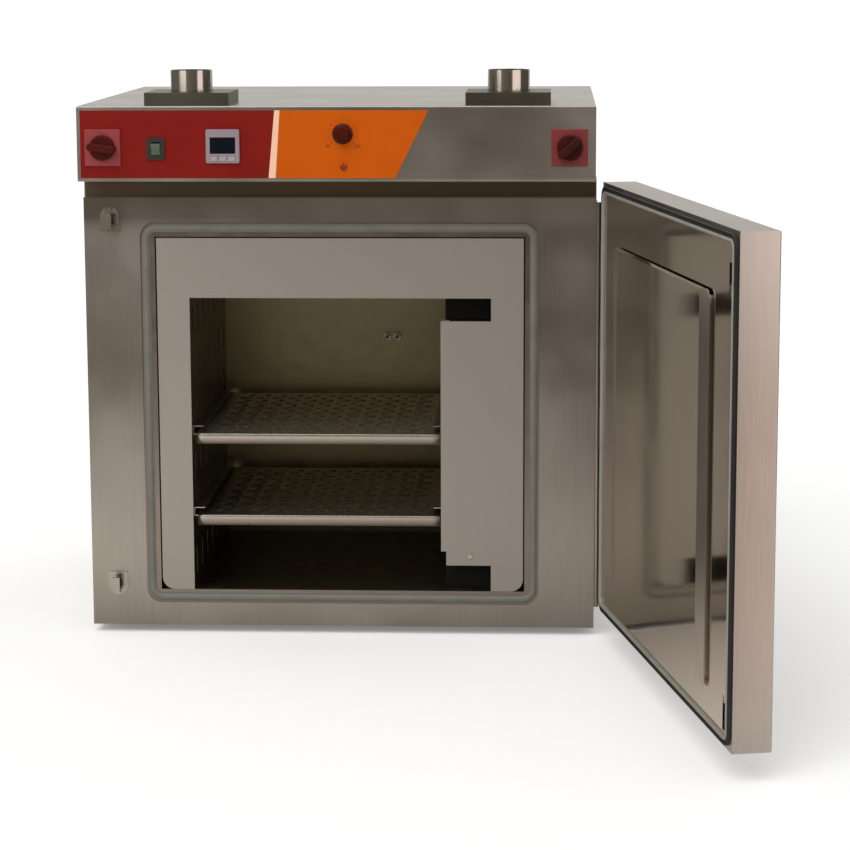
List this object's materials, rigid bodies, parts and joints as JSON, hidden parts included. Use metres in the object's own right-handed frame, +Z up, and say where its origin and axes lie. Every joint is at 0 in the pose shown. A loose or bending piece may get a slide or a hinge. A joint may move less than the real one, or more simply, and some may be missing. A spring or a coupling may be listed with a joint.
{
  "type": "cleanroom oven",
  "caption": "Bench-top stainless oven with a side-hinged insulated door, control header, filter and sliding perforated shelves in a ducted chamber.",
  "frame": {"origin": "centre of the four-foot bolt pattern, at bench level", "axes": "+X to the user's right, +Y towards the rear panel, +Z up; the door opening faces -Y"},
  "size_m": [0.9439, 1.3183, 0.827],
  "materials": {
    "brushed_steel": "brushed",
    "satin_steel": "satin",
    "polished_steel": "polished",
    "dark_steel": "satin",
    "mineral_wool": "matt",
    "aluminium_frame": "satin",
    "painted_black": "satin",
    "silicone_grey": "satin",
    "silicone_pale": "satin",
    "rubber_black": "matt",
    "plastic_black": "satin",
    "grip_metal": "satin",
    "overlay_red": "satin",
    "overlay_orange": "satin",
    "isolator_red": "satin",
    "isolator_dark": "satin",
    "knob_dark_red": "satin",
    "rocker_green": "gloss",
    "plastic_pale": "satin",
    "display_glass": "gloss",
    "plastic_key": "satin",
    "lamp_red": "gloss"
  },
  "bodies": {
    "cabinet": {"air_return_panel": "brushed_steel", "base_pan": "brushed_steel", "cable_gland": "plastic_black", "ceiling_panel": "brushed_steel", "chamber_front_flange": "satin_steel", "chamber_insulation": "mineral_wool", "chamber_seal": "silicone_grey", "controller_case": "plastic_pale", "controller_display": "display_glass", "fan_motor": "painted_black", "feet": "rubber_black", "filter_front_cover": "brushed_steel", "filter_seats": "dark_steel", "front_frame": "brushed_steel", "header_casing": "brushed_steel", "header_floor": "brushed_steel", "heater_elements": "brushed_steel", "hepa_filter": "aluminium_frame", "hinge_cabinet_leaf": "brushed_steel", "hinge_pin": "brushed_steel", "inner_chamber": "brushed_steel", "left_isolator_switch": "isolator_red", "left_side_panel": "brushed_steel", "lower_latch_keep": "brushed_steel", "orange_fascia_overlay": "overlay_orange", "overtemp_lamp": "lamp_red", "overtemp_thermostat": "plastic_black", "panel_screws": "brushed_steel", "rear_panel": "brushed_steel", "red_fascia_overlay": "overlay_red", "right_isolator_switch": "isolator_dark", "right_side_panel": "brushed_steel", "rocker_bezel": "plastic_black", "shelf_runners": "brushed_steel", "temperature_probes": "brushed_steel", "upper_latch_keep": "brushed_steel", "vent_boxes": "brushed_steel", "vent_spigots": "brushed_steel"},
    "door": {"door_outer_pan": "brushed_steel", "door_liner": "polished_steel", "door_insulation": "mineral_wool", "door_gasket": "rubber_black", "door_seal": "silicone_pale", "hinge_door_leaf": "brushed_steel", "latch_case": "brushed_steel", "handle_dish": "plastic_black"},
    "grip": {"turn_grip": "grip_metal"},
    "upper_rod": {"upper_latch_rod": "brushed_steel"},
    "lower_rod": {"lower_latch_rod": "brushed_steel"},
    "upper_shelf": {"upper_shelf": "brushed_steel"},
    "lower_shelf": {"lower_shelf": "brushed_steel"},
    "fan": {"fan_wheel": "aluminium_frame", "fan_shaft": "brushed_steel"},
    "left_isolator": {"left_isolator_knob": "knob_dark_red"},
    "right_isolator": {"right_isolator_knob": "plastic_black"},
    "rocker": {"rocker_switch": "rocker_green"},
    "overtemp_dial": {"overtemp_knob": "plastic_black"},
    "key_1": {"controller_key_1": "plastic_key"},
    "key_2": {"controller_key_2": "plastic_key"},
    "key_3": {"controller_key_3": "plastic_key"}
  },
  "joints": [
    {"name": "door_hinge", "type": "hinge", "parent": "cabinet", "child": "door", "pos_m": [0.3736, -0.288, 0.342], "axis": [0, 0, 1], "range_deg": [-101.5, 68.5]},
    {"name": "grip_turn", "type": "hinge", "parent": "door", "child": "grip", "pos_m": [0.56408, -0.94838, 0.354], "axis": [0.9799, 0.1994, 0], "range_deg": [0, 90]},
    {"name": "upper_rod_slide", "type": "slide", "parent": "door", "child": "upper_rod", "axis": [0, 0, 1], "range_m": [0, 0.0141]},
    {"name": "lower_rod_slide", "type": "slide", "parent": "door", "child": "lower_rod", "axis": [0, 0, -1], "range_m": [0, 0.0141]},
    {"name": "upper_shelf_slide", "type": "slide", "parent": "cabinet", "child": "upper_shelf", "axis": [0, -1, 0], "range_m": [0, 0.25]},
    {"name": "lower_shelf_slide", "type": "slide", "parent": "cabinet", "child": "lower_shelf", "axis": [0, -1, 0], "range_m": [0, 0.25]},
    {"name": "fan_spin", "type": "hinge", "parent": "cabinet", "child": "fan", "pos_m": [-0.09, 0, 0.54], "axis": [0, 0, 1], "continuous": true},
    {"name": "left_isolator_turn", "type": "hinge", "parent": "cabinet", "child": "left_isolator", "pos_m": [-0.331, -0.345, 0.72], "axis": [0, 1, 0], "range_deg": [0, 90]},
    {"name": "right_isolator_turn", "type": "hinge", "parent": "cabinet", "child": "right_isolator", "pos_m": [0.331, -0.345, 0.72], "axis": [0, 1, 0], "range_deg": [0, 90]},
    {"name": "rocker_rock", "type": "hinge", "parent": "cabinet", "child": "rocker", "pos_m": [-0.2552, -0.3375, 0.7184], "axis": [1, 0, 0], "range_deg": [-14, 0]},
    {"name": "overtemp_turn", "type": "hinge", "parent": "cabinet", "child": "overtemp_dial", "pos_m": [0.0106, -0.345, 0.7394], "axis": [0, 1, 0], "range_deg": [0, 280]},
    {"name": "key_1_press", "type": "slide", "parent": "cabinet", "child": "key_1", "axis": [0, 1, 0], "range_m": [0, 0.001], "stiffness_N_per_m": 300},
    {"name": "key_2_press", "type": "slide", "parent": "cabinet", "child": "key_2", "axis": [0, 1, 0], "range_m": [0, 0.001], "stiffness_N_per_m": 300},
    {"name": "key_3_press", "type": "slide", "parent": "cabinet", "child": "key_3", "axis": [0, 1, 0], "range_m": [0, 0.001], "stiffness_N_per_m": 300}
  ],
  "couplings": [
    {"joint": "grip_turn", "follows": "upper_rod_slide", "rad_per_m": 111.4},
    {"joint": "lower_rod_slide", "follows": "upper_rod_slide", "ratio": 1}
  ]
}
